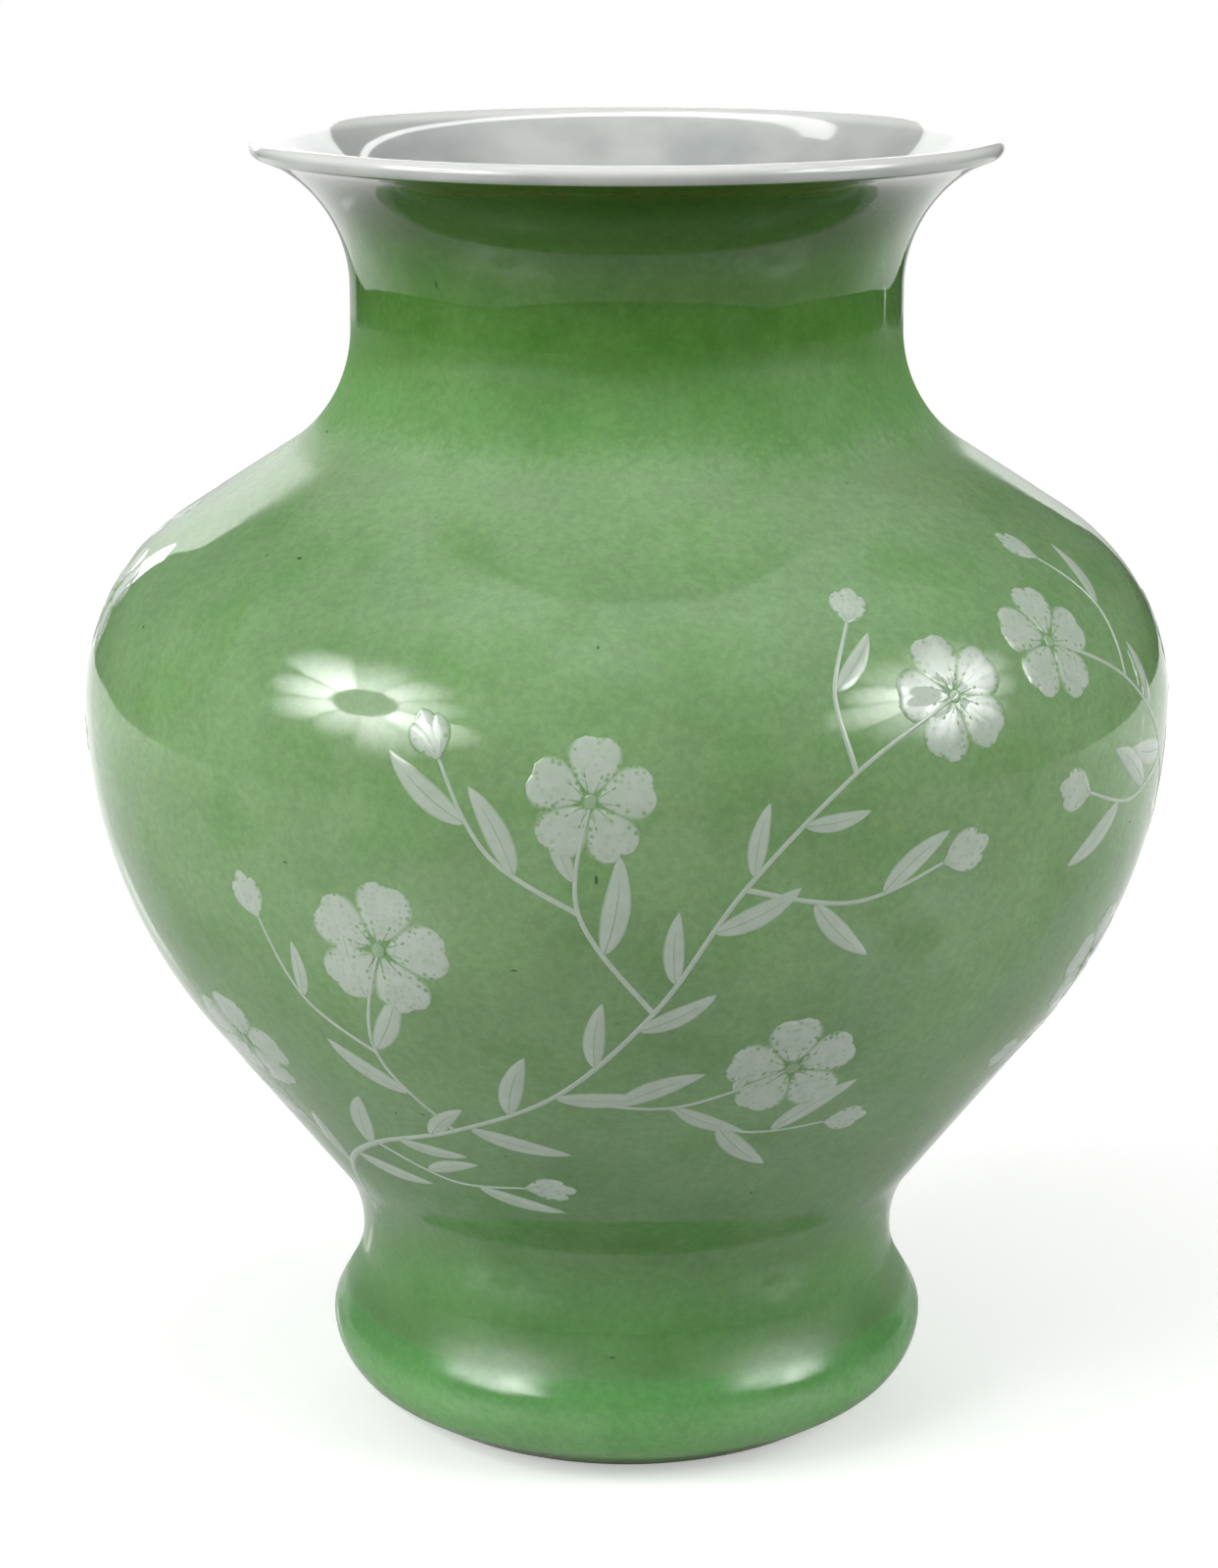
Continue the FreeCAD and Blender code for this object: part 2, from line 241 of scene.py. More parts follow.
# %% The space around
# How steep the look upwards is, from and to, and the light there
OVERHEAD_LIGHT = (0.70, 0.96, 0.08, 0.80)

world = bpy.data.worlds.new("studio")
scene.world = world
world.use_nodes = True
tree = world.node_tree
tree.nodes.clear()
path = put(tree, "ShaderNodeLightPath")
way = parts_of(tree, put(tree, "ShaderNodeTexCoord").outputs["Generated"])
overhead = spread_of(tree, way["Z"], *OVERHEAD_LIGHT)
seen = one_or_other(tree, path.outputs["Is Camera Ray"], overhead, 1.0)
sky = out(tree, "ShaderNodeBackground", {"Color": (1, 1, 1, 1), "Strength": seen})
put(tree, "ShaderNodeOutputWorld", {"Surface": sky})
print("the ceiling is", OVERHEAD_LIGHT[-1], "bright and the sides", OVERHEAD_LIGHT[-2])

# %% [markdown]
# A glossy glaze is a mirror, so the lamps are built as lit surfaces with a true shape and not as
# plain lamps. Each is a mesh whose points carry their own brightness. The glaze sees it, and the
# camera doesn't.

# %% Lit surfaces
def glowing(name, strength):
    """A lit surface whose brightness follows the mesh's own light attribute."""
    material, tree = empty_material(name)
    light = put(tree, "ShaderNodeAttribute", attribute_name="light").outputs["Fac"]
    glow = out(tree, "ShaderNodeEmission", {"Strength": times(tree, light, strength)})
    shown(tree, glow)
    return material


def lamp_mesh(name, points, faces, lights, strength):
    """A lamp that the glaze mirrors and the camera doesn't see."""
    mesh = bpy.data.meshes.new(name)
    mesh.from_pydata([tuple(p) for p in points], [], faces)
    mesh.attributes.new("light", "FLOAT", "POINT").data.foreach_set("value", lights)
    mesh.materials.append(glowing(name + "_glow", strength))
    thing = bpy.data.objects.new(name, mesh)
    scene.collection.objects.link(thing)
    thing.visible_camera = False
    return thing


def towards(azimuth, elevation):
    """The direction of a lamp. Azimuth 0 is towards the camera, positive to the right."""
    a, e = math.radians(azimuth), math.radians(elevation)
    return Vector((math.sin(a) * math.cos(e), -math.cos(a) * math.cos(e), math.sin(e)))

# %% [markdown]
# Two photographer's umbrellas light the vase, one on each side in front. Each is a shallow white
# dome of gores between ribs, and its lamp head hides the middle. On the belly they show as two
# white flowers.

# %% Umbrellas
UMBRELLA_AWAY = 1.25
UMBRELLA_RADIUS, UMBRELLA_STRETCH = 0.56, 1.30
UMBRELLA_GORES = 9
UMBRELLA_LIGHT = 14.6
UMBRELLA_DEPTH, UMBRELLA_RINGS, STEPS_ON_A_GORE = 0.10, 30, 16
LAMP_HEAD_SHARE, LAMP_HEAD_LIGHT = 0.215, 0.15
MIDDLE_LIGHT, LIGHT_DROP, HALO_LIGHT = 1.75, 1.45, 0.08
PETAL_NOTCH, PETAL_FADE = 0.18, 2.4
RIB_SHADE, RIB_WIDTH = 0.35, 0.14
GORE_LIGHTS, GORE_REACHES = (0.40, 1.0), (0.62, 1.0)
INNER_RING = 0.02
LAMP_TARGET = Vector((0, 0, 0.15))


def gore_light(share, angle, gores):
    """The light of a spot on the umbrella: strongest beside the lamp head, in petals, dim at the rim."""
    if share < LAMP_HEAD_SHARE:
        return LAMP_HEAD_LIGHT
    place = angle / (2 * math.pi) * UMBRELLA_GORES
    strength, reach = gores[int(place) % UMBRELLA_GORES]
    across = abs(place % 1 - 0.5) * 2
    petal = max(0.0, 1 - (share / (reach * (1 - PETAL_NOTCH * across ** 2))) ** PETAL_FADE)
    streak = 1 - RIB_SHADE * math.exp(-((1 - across) / RIB_WIDTH) ** 2)
    halo = HALO_LIGHT * max(0.0, 1 - share ** 2)
    return strength * streak * petal * (MIDDLE_LIGHT - LIGHT_DROP * share) + halo


def umbrella(name, azimuth, elevation, strength, seed):
    """A dome of gores that faces the vase."""
    aim = towards(azimuth, elevation)
    turn = aim.to_track_quat("Z", "Y").to_matrix()
    centre = LAMP_TARGET + aim * UMBRELLA_AWAY
    draw = random.Random(seed)
    gores = [(draw.uniform(*GORE_LIGHTS), draw.uniform(*GORE_REACHES)) for _ in range(UMBRELLA_GORES)]
    rings, steps = UMBRELLA_RINGS, UMBRELLA_GORES * STEPS_ON_A_GORE
    points, lights = [], []
    for ring in range(rings + 1):
        share = max(ring, INNER_RING) / rings
        for step in range(steps):
            angle = 2 * math.pi * step / steps
            flat = Vector((UMBRELLA_STRETCH * math.cos(angle), math.sin(angle), -UMBRELLA_DEPTH * share))
            points.append(centre + turn @ (flat * UMBRELLA_RADIUS * share))
            lights.append(gore_light(share, angle, gores))
    faces = [[ring * steps + k, ring * steps + (k + 1) % steps,
              (ring + 1) * steps + (k + 1) % steps, (ring + 1) * steps + k]
             for ring in range(rings) for k in range(steps)]
    print(name, "faces the vase from", azimuth, "degrees round and", elevation, "up")
    return lamp_mesh(name, points, faces, lights, strength)


# Each: name, how far round, how high, its share of the light, and the seed of its gores
UMBRELLAS = (("umbrella_left", -59, 30, 1.0, 4), ("umbrella_right", 70, 28, 0.78, 9))

for name, azimuth, elevation, share, seed in UMBRELLAS:
    umbrella(name, azimuth, elevation, UMBRELLA_LIGHT * share, seed)

# %% [markdown]
# A narrow backdrop draws the bright edges of the shoulders, thin upright strips the streaks beside
# them, and a small panel over the mouth the curved highlight inside it.

# %% Backdrop, strips and a panel
def panel(name, start, stop, width, strength):
    """A long flat light from one place to another, such as the edge of a lit screen."""
    aside = start.cross(stop).normalized() * width / 2
    return lamp_mesh(name, [start - aside, start + aside, stop + aside, stop - aside], [[0, 1, 2, 3]],
                     [1, 1, 1, 1], strength)


def strip(name, azimuth, away, low, high, width, strength):
    """A narrow upright light that stands behind the vase."""
    spot = towards(azimuth, 0) * away
    return panel(name, spot + Vector((0, 0, low)), spot + Vector((0, 0, high)), width, strength)


BACKDROP_LEFT, BACKDROP_RIGHT, BACKDROP_HEIGHT = -0.64, 0.40, 0.80
BACKDROP_LIGHTS = (0.40, 0.40, 2.60, 2.20)
# Each: name, how far round, how far away, its lower and upper end, its width and its strength
STRIPS = (("strip_left", -149, 1.0, 0.25, 0.40, 0.08, 6.0),
          ("strip_right", 131, 1.1, 0.03, 0.14, 0.008, 5.0),
          ("strip_right_thin", 129, 1.1, 0.09, 0.24, 0.006, 5.0))
OVER_MOUTH_START, OVER_MOUTH_STOP = Vector((-0.03, 0.125, 0.385)), Vector((0.05, 0.18, 0.345))
OVER_MOUTH_WIDTH, OVER_MOUTH_LIGHT = 0.012, 4.5

lamp_mesh("backdrop", [(BACKDROP_LEFT, TABLE_BACK, 0), (BACKDROP_RIGHT, TABLE_BACK, 0),
                       (BACKDROP_RIGHT, TABLE_BACK, BACKDROP_HEIGHT),
                       (BACKDROP_LEFT, TABLE_BACK, BACKDROP_HEIGHT)],
          [[0, 1, 2, 3]], BACKDROP_LIGHTS, 1.0)
panel("panel_over_mouth", OVER_MOUTH_START, OVER_MOUTH_STOP, OVER_MOUTH_WIDTH, OVER_MOUTH_LIGHT)
for row in STRIPS:
    strip(*row)
print(len(STRIPS), "strips, a backdrop and a panel over the mouth")

# %% [markdown]
# A potter thinks of a vase as one outline. From the ground up it is a row of arcs that run into
# each other: foot, waist, belly, neck and flare. The sizes, in millimetres, are those of the CAD
# model, so that each skin lies just where its solid does. A line inside the wall is the same
# outline with every arc moved in by its depth.

# %% Profile of the vase
FOOT_LEVEL, FOOT_RADIUS = 16.2, 59.4
WAIST_LOW, WAIST_HIGH, WAIST_RADIUS = 33.9, 34.7, 53.2
BELLY_LOW, BELLY_HIGH, BELLY_RADIUS = 143.0, 143.8, 104.7
NECK_LOW, NECK_HIGH, NECK_RADIUS = 214.3, 222.0, 52.6
FOOT_BEND, WAIST_LOW_BEND, WAIST_HIGH_BEND = 6.61, 19.5, 24.6
BELLY_BEND, SHOULDER_BEND, NECK_BEND = 96.9, 40.3, 27.4
UNDERSIDE_BEND, UNDERSIDE_ANGLE = 13.58, math.radians(32.3)
FLARE_BEND, FLARE_TURN = 25.97, math.radians(69.5)
LIP_HALF = 1.9
ARC_STEP, LIP_STEP, STRAIGHT_STEP = 0.9, 0.3, 1.5


def arc(middle, bend, start, stop, step=ARC_STEP):
    """Points on an arc. Angles are from the outward direction, and up is positive."""
    count = max(2, round(abs(stop - start) * bend / step))
    turns = [start + (stop - start) * k / count for k in range(count + 1)]
    return [(middle[0] + bend * math.cos(t), middle[1] + bend * math.sin(t)) for t in turns]


def s_curve(low, high, low_bend, high_bend):
    """Two arcs and the straight between them, upright at both ends."""
    side = math.copysign(1, high[0] - low[0])
    swing, rise = abs(high[0] - low[0]), high[1] - low[1]
    bends = low_bend + high_bend
    run = math.sqrt(rise ** 2 + swing ** 2 - 2 * bends * swing)
    turn = math.atan2(run * (swing - bends) + bends * rise, run * rise - bends * (swing - bends))
    lower = [(low[0] + side * low_bend * (1 - math.cos(t)), low[1] + low_bend * math.sin(t))
             for t in spread(turn, low_bend)]
    upper = [(high[0] - side * high_bend * (1 - math.cos(t)), high[1] - high_bend * math.sin(t))
             for t in reversed(spread(turn, high_bend))]
    return lower + straight(lower[-1], upper[0]) + upper


def spread(turn, bend):
    """Even shares of a turn, about one step apart along the arc."""
    count = max(4, round(turn * bend / ARC_STEP))
    return [turn * k / count for k in range(count + 1)]


def straight(start, stop):
    """Points between two ends, the ends left out."""
    count = max(1, round(math.dist(start, stop) / STRAIGHT_STEP))
    return [tuple(a + (b - a) * k / count for a, b in zip(start, stop)) for k in range(1, count)]


def outline(depth=0.0):
    """The outside of the vase from the ground to the end of the flare, or a line that deep in it."""
    foot, waist, belly, neck = (r - depth for r in (FOOT_RADIUS, WAIST_RADIUS, BELLY_RADIUS, NECK_RADIUS))
    under = arc((FOOT_RADIUS - UNDERSIDE_BEND, FOOT_LEVEL), UNDERSIDE_BEND - depth,
                UNDERSIDE_ANGLE - math.pi / 2, 0)
    start = under[0]
    ground = (start[0] - start[1] / math.tan(UNDERSIDE_ANGLE), 0.0)
    line = [ground] + straight(ground, start) + under
    line += s_curve((foot, FOOT_LEVEL), (waist, WAIST_LOW), FOOT_BEND - depth, WAIST_LOW_BEND + depth)[1:]
    line += s_curve((waist, WAIST_HIGH), (belly, BELLY_LOW), WAIST_HIGH_BEND + depth, BELLY_BEND - depth)
    line += s_curve((belly, BELLY_HIGH), (neck, NECK_LOW), SHOULDER_BEND - depth, NECK_BEND + depth)
    line += straight(line[-1], (neck, NECK_HIGH))
    return line + flare(depth, 0, 1)


def flare(depth, low_share, high_share):
    """The flare from one share of its turn to another."""
    middle = (NECK_RADIUS + FLARE_BEND, NECK_HIGH)
    start, stop = (math.pi - FLARE_TURN * share for share in (low_share, high_share))
    return arc(middle, FLARE_BEND + depth, start, stop)


def lip(depth):
    """Half round the lip, from its underside over its tip to the inside of the mouth."""
    middle = (NECK_RADIUS + FLARE_BEND - (FLARE_BEND + LIP_HALF) * math.cos(FLARE_TURN),
              NECK_HIGH + (FLARE_BEND + LIP_HALF) * math.sin(FLARE_TURN))
    return arc(middle, LIP_HALF - depth, -FLARE_TURN, math.pi - FLARE_TURN, LIP_STEP)


def between(line, low, high):
    """The part of a line from one level to another, cut where it crosses them."""
    kept = []
    for (r0, z0), (r1, z1) in zip(line, line[1:]):
        for level in (low, high):
            if min(z0, z1) < level < max(z0, z1):
                kept.append((r0 + (r1 - r0) * (level - z0) / (z1 - z0), level))
        if low <= z1 <= high:
            kept.append((r1, z1))
    return kept


WALL = outline()
print(len(WALL), "points on the outside, and the flare ends at", round(WALL[-1][1], 1), "mm")

# %% [markdown]
# Everything on a wheel is a section turned round an axis, so one Geometry Nodes tree makes every
# skin. It lays out a grid with a row for each point of the section, bends the grid round the
# axis, joins the seam and the poles, and presses in the slow waves that a thrower's hand leaves.
# The waves only go inwards, so the skin never leaves the CAD model.

# %% Tree that turns a section
TURNED_SIDES = 240
BACK_THINNING = 4
SEAM_GAP = 2e-6
SHARP_FROM = math.radians(40)
WAVE_DEPTH_GREEN, WAVE_DEPTH_WHITE, WAVE_SIZE = 0.06, 0.05, 0.03


def turning_tree():
    inputs = (("Sides", "Int"), ("Wave Depth", "Float"), ("Wave Size", "Float"), ("Finish", "Material"))
    tree, given = shape_tree("turn_on_the_wheel", "Section", inputs, "Skin")
    rows = put(tree, "GeometryNodeAttributeDomainSize", {0: given["Section"]}).outputs["Point Count"]
    around = plus(tree, given["Sides"], 1)
    grid = put(tree, "GeometryNodeMeshGrid", {"Size X": 1.0, "Size Y": 1.0, "Vertices X": rows,
                                              "Vertices Y": around}).outputs["Mesh"]
    here = here_in(tree)
    row = maths(tree, "ROUND", times(tree, plus(tree, here["X"], 0.5), minus(tree, rows, 1)))
    turn = times(tree, plus(tree, here["Y"], 0.5), 2 * math.pi)
    point = out(tree, "GeometryNodeSampleIndex",
                {"Geometry": given["Section"], "Value": out(tree, "GeometryNodeInputPosition"),
                 "Index": row}, data_type="FLOAT_VECTOR", domain="POINT")
    on_section = parts_of(tree, point)
    round_axis = out(tree, "ShaderNodeCombineXYZ", {
        "X": times(tree, on_section["X"], maths(tree, "COSINE", turn)),
        "Y": times(tree, on_section["X"], maths(tree, "SINE", turn)),
        "Z": on_section["Z"]})
    bent = out(tree, "GeometryNodeSetPosition", {"Geometry": grid, "Position": round_axis})
    closed = out(tree, "GeometryNodeMergeByDistance", {"Geometry": bent, "Distance": SEAM_GAP})
    outward = out(tree, "GeometryNodeFlipFaces", {0: closed})
    size = maths(tree, "DIVIDE", 1.0, given["Wave Size"])
    waves = out(tree, "ShaderNodeTexNoise", {"Scale": size, "Detail": 1.0})
    inward = times(tree, times(tree, waves, given["Wave Depth"]), -1.0)
    push = out(tree, "ShaderNodeVectorMath", {0: out(tree, "GeometryNodeInputNormal"),
                                              "Scale": inward}, operation="SCALE")
    waved = out(tree, "GeometryNodeSetPosition", {"Geometry": outward, "Offset": push})
    angle = put(tree, "GeometryNodeInputMeshEdgeAngle").outputs["Unsigned Angle"]
    sharp = out(tree, "FunctionNodeCompare", {0: angle, 1: SHARP_FROM}, operation="GREATER_THAN")
    smooth = out(tree, "GeometryNodeSetShadeSmooth", {"Geometry": waved}, domain="FACE")
    edged = out(tree, "GeometryNodeSetShadeSmooth", {"Geometry": smooth, "Shade Smooth": False,
                                                     "Selection": sharp}, domain="EDGE")
    whole = out(tree, "GeometryNodeRealizeInstances", {0: edged})
    done = out(tree, "GeometryNodeSetMaterial", {"Geometry": whole, "Material": given["Finish"]})
    put(tree, "NodeGroupOutput", {"Skin": done})
    return tree


TURN = turning_tree()
print(len(TURN.nodes), "nodes turn a section")

# %% [markdown]
# To use the tree, a section is laid down as a plain line of points, the tree runs on it once, and
# the result is kept as a plain mesh. The side of a skin that nothing shows gets fewer points.

# %% Running a tree
def grown(name, base, tree, settings):
    """Runs a tree on a base mesh and keeps the result as a plain mesh of that name."""
    holder = bpy.data.objects.new(name + "_base", base)
    scene.collection.objects.link(holder)
    tool = holder.modifiers.new("shape", "NODES")
    tool.node_group = tree
    for socket in tree.interface.items_tree:
        if socket.item_type == "SOCKET" and socket.in_out == "INPUT" and socket.name in settings:
            tool[socket.identifier] = settings[socket.name]
    seen_by = bpy.context.evaluated_depsgraph_get()
    mesh = bpy.data.meshes.new_from_object(holder.evaluated_get(seen_by), depsgraph=seen_by)
    bpy.data.objects.remove(holder)
    mesh.name = name
    piece = bpy.data.objects.new(name, mesh)
    scene.collection.objects.link(piece)
    print(name, "has", len(mesh.vertices), "points and", len(mesh.polygons), "faces")
    return piece


def coarser(line):
    """A line with fewer points, for the side of a skin that nothing shows."""
    return line[:1] + line[BACK_THINNING:-BACK_THINNING:BACK_THINNING] + line[-1:]


def turned(name, section, material, wave_depth):
    """A closed section, in millimetres, turned round the axis of the vase."""
    base = bpy.data.meshes.new(name + "_section")
    loop = section + section[:1]
    base.from_pydata([(r * MM, 0, z * MM) for r, z in loop], [], [])
    return grown(name, base, TURN, {"Sides": TURNED_SIDES, "Wave Depth": wave_depth * MM,
                                    "Wave Size": WAVE_SIZE, "Finish": material})

# %% [markdown]
# The green glaze is a glassy coat over white clay, so its colour is the clay's light filtered
# through green. It isn't even: it is blown on in passes, which leaves a fine speckle and broad
# soft clouds. It lies thick and deep on the neck and round the foot, thin and pale on the belly,
# and turns olive where it runs out under the lip.

# %% Colours and shared material helpers
def colour(red, green, blue):
    """A colour as a paint program gives it, from 0 to 255, as Blender's plain light values."""
    parts = [c / 255 for c in (red, green, blue)]
    return (*[c / 12.92 if c <= 0.04045 else ((c + 0.055) / 1.055) ** 2.4 for c in parts], 1)


def new_finish(name, roughness, ior=1.56):
    """A material with one Principled surface. Gives the tree, the surface and Object coordinates."""
    material, tree = empty_material(name)
    surface_node = put(tree, "ShaderNodeBsdfPrincipled", {"Roughness": roughness, "IOR": ior})
    shown(tree, surface_node.outputs[0])
    where = put(tree, "ShaderNodeTexCoord").outputs["Object"]
    return material, tree, surface_node, where


def noise(tree, where, size, detail=3.0, roughness=0.5):
    """Cloudy noise whose blotches are about that many metres wide."""
    return put(tree, "ShaderNodeTexNoise", {"Vector": where, "Scale": 1 / size, "Detail": detail,
                                            "Roughness": roughness}).outputs["Fac"]


def blend_of(tree, share, first, second, how="MIX"):
    """Mixes two colours."""
    mixed = put(tree, "ShaderNodeMix", {0: share, 6: first, 7: second}, data_type="RGBA", blend_type=how)
    return mixed.outputs[2]


def bump(tree, surface_node, height, strength, distance):
    tilt = out(tree, "ShaderNodeBump", {"Height": height, "Strength": strength, "Distance": distance})
    tree.links.new(tilt, surface_node.inputs["Normal"])

# %% Colour of the green glaze
VASE_HEIGHT = 0.250
RIPPLE_SIZE, GRAIN_SIZE, RIPPLE_DEPTH = 0.035, 0.0012, 0.010
CLOUD_SIZE, MIST_SIZE, OLIVE_SIZE, POOL_SIZE = 0.026, 0.0016, 0.018, 0.013
FLECK_CELL, FLECK_DARKNESS = 0.0075, 0.75
DIMPLE_SIZE, DIMPLE_DEPTH = 0.0040, 0.00008
OLIVE, POOL_GREEN, FLECK_BROWN = colour(122, 158, 92), colour(62, 108, 36), colour(34, 56, 26)
GREEN_LEVELS = (
    (0.000, colour(130, 180, 108)), (0.012, colour(121, 178, 108)), (0.021, colour(96, 152, 88)),
    (0.0240, colour(91, 134, 77)), (0.034, colour(93, 142, 77)), (0.055, colour(106, 145, 91)),
    (0.090, colour(120, 157, 103)), (0.150, colour(130, 166, 114)), (0.180, colour(126, 163, 112)),
    (0.191, colour(138, 172, 124)), (0.204, colour(103, 155, 82)), (0.214, colour(94, 144, 67)),
    (0.228, colour(86, 128, 62)), (0.238, colour(72, 104, 48)), (0.2435, colour(60, 88, 36)),
    (0.2448, colour(82, 88, 34)),
)
ROUGH_LEVELS = (
    (0.0160, 0.05), (0.0200, 0.13), (0.0240, 0.38), (0.0285, 0.45), (0.0325, 0.05), (0.180, 0.05),
    (0.190, 0.16), (0.1945, 0.40), (0.1985, 0.75), (0.2085, 0.75), (0.214, 0.35), (0.219, 0.05),
)


def ladder(tree, level, rungs):
    """Steps smoothly from one colour to the next as the level on the vase rises."""
    node = put(tree, "ShaderNodeValToRGB", {0: maths(tree, "DIVIDE", level, VASE_HEIGHT)})
    node.color_ramp.interpolation = "EASE"
    steps = node.color_ramp.elements
    while len(steps) < len(rungs):
        steps.new(0.5)
    for step, (height, tone) in zip(steps, rungs):
        step.position = height / VASE_HEIGHT
        step.color = tone
    return node.outputs[0]


def rippled_level(tree, where):
    """The height on the vase, made a little uneven, as a sprayed edge is."""
    level = parts_of(tree, where)["Z"]
    broad, grain = (
        times(tree, minus(tree, noise(tree, where, size, 2.0), 0.5), RIPPLE_DEPTH)
        for size in (RIPPLE_SIZE, GRAIN_SIZE))
    high = spread_of(tree, level, 0.150, 0.200)
    away_from_edges = spread_of(tree, level, 0.236, 0.226)
    free = times(tree, high, away_from_edges)
    wander = times(tree, plus(tree, broad, grain), free)
    low = spread_of(tree, level, 0.06, 0.05, 0.0, 0.22)
    low_wander = times(tree, broad, low)
    return plus(tree, level, plus(tree, wander, low_wander))


def flecks(tree, where, stretch, share, seed_shift):
    """Thin dark flecks, as bits of kiln dust leave in a glaze, stretched along one direction."""
    place = vectors(tree, "MULTIPLY", vectors(tree, "ADD", where, seed_shift), stretch)
    cell = put(tree, "ShaderNodeTexVoronoi", {"Vector": place, "Scale": 1 / FLECK_CELL, "Randomness": 1.0})
    near = spread_of(tree, cell.outputs["Distance"], 0.046, 0.026)
    chosen = out(tree, "ShaderNodeSeparateColor", {0: cell.outputs["Color"]})
    return times(tree, near, maths(tree, "LESS_THAN", chosen, share))


def green_colour(tree, where):
    """The colour that the green glaze has at each place, for every finish that shows it."""
    tone = ladder(tree, rippled_level(tree, where), GREEN_LEVELS)
    clouds = spread_of(tree, noise(tree, where, CLOUD_SIZE, 4.0, 0.6), 0.28, 0.74, 0.91, 1.07)
    mist = spread_of(tree, noise(tree, where, MIST_SIZE, 3.0, 0.75), 0.30, 0.70, 0.90, 1.07)
    shade = times(tree, clouds, mist)
    tone = blend_of(tree, 1.0, tone, grey(tree, shade), "MULTIPLY")
    warm = spread_of(tree, noise(tree, where, OLIVE_SIZE, 3.0, 0.6), 0.45, 0.70, 0.0, 0.35)
    tone = blend_of(tree, warm, tone, OLIVE, "SOFT_LIGHT")
    pools = spread_of(tree, noise(tree, where, POOL_SIZE, 4.0, 0.65), 0.46, 0.66, 0.0, 0.45)
    on_neck = spread_of(tree, parts_of(tree, where)["Z"], 0.206, 0.218)
    tone = blend_of(tree, times(tree, pools, on_neck), tone, POOL_GREEN)
    dust = maths(tree, "MAXIMUM", flecks(tree, where, (1.0, 1.0, 0.30), 0.55, (0.3, 0.1, 0.2)),
                 flecks(tree, where, (0.40, 0.40, 1.2), 0.45, (0.7, 0.2, 0.4)))
    return blend_of(tree, times(tree, dust, FLECK_DARKNESS), tone, FLECK_BROWN)


def green_roughness(tree, where):
    """Smooth glaze nearly everywhere, with a grainy band where one pass of the spray runs out."""
    level = parts_of(tree, where)["Z"]
    return ladder(tree, level, [(height, (value, value, value, 1)) for height, value in ROUGH_LEVELS])


green_finish, tree, glaze, where = new_finish("green_glaze", 0.05)
tree.links.new(green_colour(tree, where), glaze.inputs["Base Color"])
tree.links.new(green_roughness(tree, where), glaze.inputs["Roughness"])
bump(tree, glaze, noise(tree, where, DIMPLE_SIZE, 2.0), 0.25, DIMPLE_DEPTH)
print(len(GREEN_LEVELS), "steps of green from the foot to the lip")

# %% [markdown]
# The white glaze is opaque and nearly even, so it needs far less. It stays white where it rolls
# over the lip. Inside the neck and the mouth, on the flare's edge and under the roll of the lip, its
# colour is greyed as painted shade, because the lamps over the vase would otherwise burn it out to
# plain white there. Under the lip, where the two glazes meet, the edge of the green has run onto it.

# %% Colour of the white glaze
# From 0.205 m to 0.2492 m these rungs are greyed as painted shade. The floor inside and the top of the
# lip's roll stay white.
WHITE_AND_PAINTED_SHADE_LEVELS = (
    (0.000, colour(228, 230, 228)), (0.205, colour(228, 230, 228)), (0.226, colour(146, 150, 149)),
    (0.2430, colour(163, 167, 166)), (0.2478, colour(178, 181, 179)), (0.2492, colour(228, 230, 228)),
    (0.250, colour(228, 229, 227)),
)
FACES_DOWN, RUN_GREEN = (-0.70, -0.80), colour(70, 92, 36)
CREAM_SIZE, CREAM = 0.020, colour(226, 226, 220)
WHITE_DIMPLE_SIZE, WHITE_DIMPLE_DEPTH = 0.0045, 0.00006

white_finish, tree, glaze, where = new_finish("white_glaze", 0.06)
tint = ladder(tree, parts_of(tree, where)["Z"], WHITE_AND_PAINTED_SHADE_LEVELS)
warm = spread_of(tree, noise(tree, where, CREAM_SIZE, 3.0), 0.3, 0.7, 0.0, 0.4)
tint = blend_of(tree, warm, tint, CREAM)
facing = parts_of(tree, put(tree, "ShaderNodeTexCoord").outputs["Normal"])["Z"]
tint = blend_of(tree, spread_of(tree, facing, *FACES_DOWN), tint, RUN_GREEN)
tree.links.new(tint, glaze.inputs["Base Color"])
bump(tree, glaze, noise(tree, where, WHITE_DIMPLE_SIZE, 2.0), 0.2, WHITE_DIMPLE_DEPTH)
print(len(WHITE_AND_PAINTED_SHADE_LEVELS), "steps of white from the floor to the lip")

# %% [markdown]
# The green skin is set back by 0.15 mm, the height of the slip brushed on it, so that the painted
# vase is no wider than the CAD model. The white skin runs from the floor up the inside, over the
# lip and down to the edge of the green.

# %% Glaze skins
COAT = 0.4
WALL_THICKNESS = 3.8
FLOOR_TOP = 10.06
GREEN_SHARE = 0.94
GREEN_BACK = 0.15
GREEN_START = 1.0


def green_face(depth):
    full = outline(depth)
    shank = full[:len(full) - len(flare(depth, 0, 1))]
    return between(shank, GREEN_START, NECK_HIGH + 1) + flare(depth, 0, GREEN_SHARE)


def white_face(depth, lip_depth, floor):
    inside = between(outline(depth), floor, 300)
    return [(0.0, floor)] + inside + lip(lip_depth)[::-1] + flare(lip_depth, GREEN_SHARE, 1)[::-1]


green_skin = turned("green_glaze_skin", green_face(GREEN_BACK) + coarser(green_face(COAT)[::-1]),
                    green_finish, WAVE_DEPTH_GREEN)
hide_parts("green_glaze")
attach(green_skin, "root")
white_skin = turned("white_glaze_skin", coarser(white_face(WALL_THICKNESS - COAT, COAT, FLOOR_TOP))
                    + white_face(WALL_THICKNESS, 0.0, FLOOR_TOP + COAT)[::-1],
                    white_finish, WAVE_DEPTH_WHITE)
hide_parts("white_glaze")
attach(white_skin, "root")

# %% [markdown]
# The decoration is white slip, a clay cream laid on with a loaded brush. Each stroke stands a
# little proud in the middle and thins to nothing at its edges, where the green shows through.
# So every stem, leaf and petal here is a real stroke: a line with a width that swells and
# tapers, swept by the low lens that a brush leaves. The design is laid out flat in millimetres,
# x round the vase and y up its wall from the waist, and is then wrapped onto the wall.

